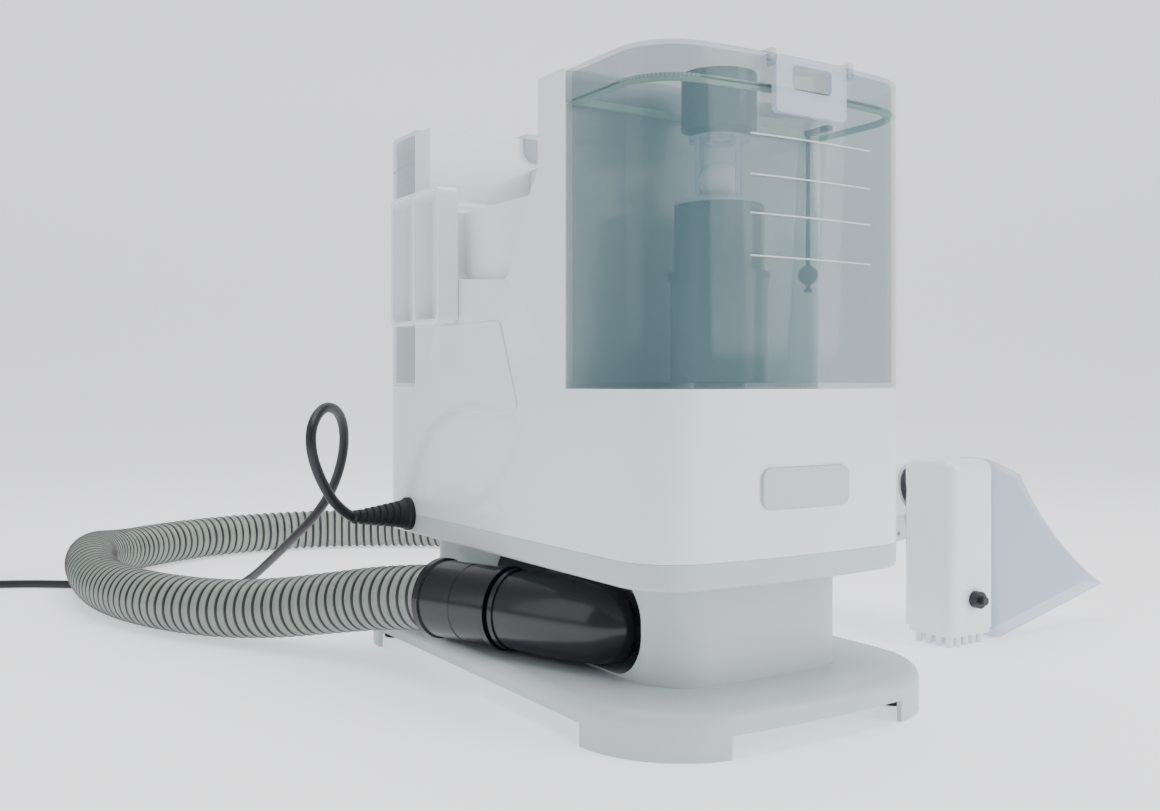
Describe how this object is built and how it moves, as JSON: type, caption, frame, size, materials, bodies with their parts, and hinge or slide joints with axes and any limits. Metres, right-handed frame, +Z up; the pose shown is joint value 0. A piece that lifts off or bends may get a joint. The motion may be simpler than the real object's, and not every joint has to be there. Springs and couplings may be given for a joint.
{
  "type": "carpet cleaner machine",
  "caption": "Portable carpet cleaner: white body with a clear front tank and rear tank on a wide plinth, ribbed hose with a clear hand nozzle, and a coiled mains lead.",
  "frame": {"origin": "on the floor, at the middle of the box round the machine and its hand tool without the hose and mains lead", "axes": "+Z up, -Y towards the front tank and badge, +X to the right of someone facing the front"},
  "size_m": [0.8264, 0.8531, 0.3693],
  "materials": {
    "white_abs": "moulded ABS, satin gloss",
    "plinth_abs": "moulded ABS, fine matte",
    "black_rubber": "moulded rubber",
    "steel_screw": "zinc plated",
    "badge_silver": "satin silver",
    "black_abs": "moulded ABS",
    "motor_steel": "drawn steel",
    "black_gloss": "polished ABS",
    "hose_vinyl": "ribbed vinyl",
    "clear_plastic": "clear styrene",
    "cord_pvc": "PVC sheath",
    "tank_smoke": "tinted clear styrene",
    "pipe_smoke": "smoked styrene",
    "gasket_green": "soft seal",
    "float_white": "hollow polypropylene ball",
    "trigger_green": "moulded ABS"
  },
  "bodies": {
    "chassis": {"base_plate": "plinth_abs", "rubber_feet": "black_rubber", "base_screws": "steel_screw", "pedestal": "plinth_abs", "bottom_pan": "plinth_abs", "main_shell": "white_abs", "handle_bar": "white_abs", "side_cover": "white_abs", "badge": "badge_silver", "tool_caddy": "white_abs", "switch_frame": "white_abs", "motor_mount": "black_rubber", "fan_housing": "black_abs", "motor_can": "motor_steel", "water_pump": "black_abs", "hose_port": "black_abs", "inlet_duct": "black_rubber", "hose_elbow": "black_gloss", "hose_cuff": "black_gloss", "suction_hose": "hose_vinyl", "tool_cuff": "black_gloss", "tool_grip": "white_abs", "trigger_bracket": "white_abs", "trigger_pin": "steel_screw", "tool_head": "white_abs", "nozzle_fan": "clear_plastic", "tool_brush": "white_abs", "spray_tip": "black_abs", "cable_boot": "black_rubber", "mains_cord": "cord_pvc", "cord_coil": "cord_pvc", "cord_tie": "cord_pvc", "mains_plug": "black_abs"},
    "waste_tank": {"front_tank": "tank_smoke", "standpipe": "pipe_smoke", "float_cage": "clear_plastic", "gauge_rod": "pipe_smoke"},
    "waste_lid": {"front_lid": "tank_smoke", "lid_outlet": "pipe_smoke", "lid_gasket": "gasket_green"},
    "latch": {"front_latch": "clear_plastic"},
    "float": {"float_ball": "float_white"},
    "level_bob": {"gauge_bob": "pipe_smoke"},
    "clean_tank": {"rear_tank": "tank_smoke", "rear_lid": "tank_smoke"},
    "filler_cap": {"fill_cap": "tank_smoke"},
    "outlet_valve": {"tank_valve": "white_abs"},
    "fan_wheel": {"impeller": "black_abs"},
    "power_rocker": {"rocker": "black_abs"},
    "spray_trigger": {"tool_trigger": "trigger_green"}
  },
  "joints": [
    {"name": "front_tank_lift", "type": "slide", "parent": "chassis", "child": "waste_tank", "axis": [0, 0, 1], "range_m": [0, 0.19]},
    {"name": "front_lid_open", "type": "hinge", "parent": "waste_tank", "child": "waste_lid", "pos_m": [-0.13511, -0.0915, 0.359], "axis": [-1, 0, 0], "range_deg": [0, 80]},
    {"name": "front_latch_open", "type": "hinge", "parent": "waste_lid", "child": "latch", "pos_m": [-0.13511, -0.1805, 0.354], "axis": [-1, 0, 0], "range_deg": [0, 60]},
    {"name": "float_rise", "type": "slide", "parent": "waste_tank", "child": "float", "axis": [0, 0, 1], "range_m": [0, 0.01]},
    {"name": "level_bob_rise", "type": "slide", "parent": "waste_tank", "child": "level_bob", "axis": [0, 0, 1], "range_m": [0, 0.065]},
    {"name": "rear_tank_lift", "type": "slide", "parent": "chassis", "child": "clean_tank", "axis": [0, 0, 1], "range_m": [0, 0.19]},
    {"name": "filler_cap_turn", "type": "hinge", "parent": "clean_tank", "child": "filler_cap", "pos_m": [-0.13511, 0.143, 0.36], "axis": [0, 0, 1], "range_deg": [0, 90]},
    {"name": "outlet_valve_lift", "type": "slide", "parent": "clean_tank", "child": "outlet_valve", "axis": [0, 0, 1], "range_m": [0, 0.004], "stiffness_N_per_m": 300},
    {"name": "fan_spin", "type": "hinge", "parent": "chassis", "child": "fan_wheel", "pos_m": [-0.13511, 0.062, 0.1], "axis": [0, 0, 1], "continuous": true},
    {"name": "power_rocker_tilt", "type": "hinge", "parent": "chassis", "child": "power_rocker", "pos_m": [-0.03411, 0.04, 0.225], "axis": [0, 1, 0], "range_deg": [0, 12]},
    {"name": "trigger_pull", "type": "hinge", "parent": "chassis", "child": "spray_trigger", "pos_m": [0.10489, -0.03731, 0.07488], "axis": [1, 0, 0], "range_deg": [0, 2.5], "stiffness_Nm_per_rad": 2}
  ]
}
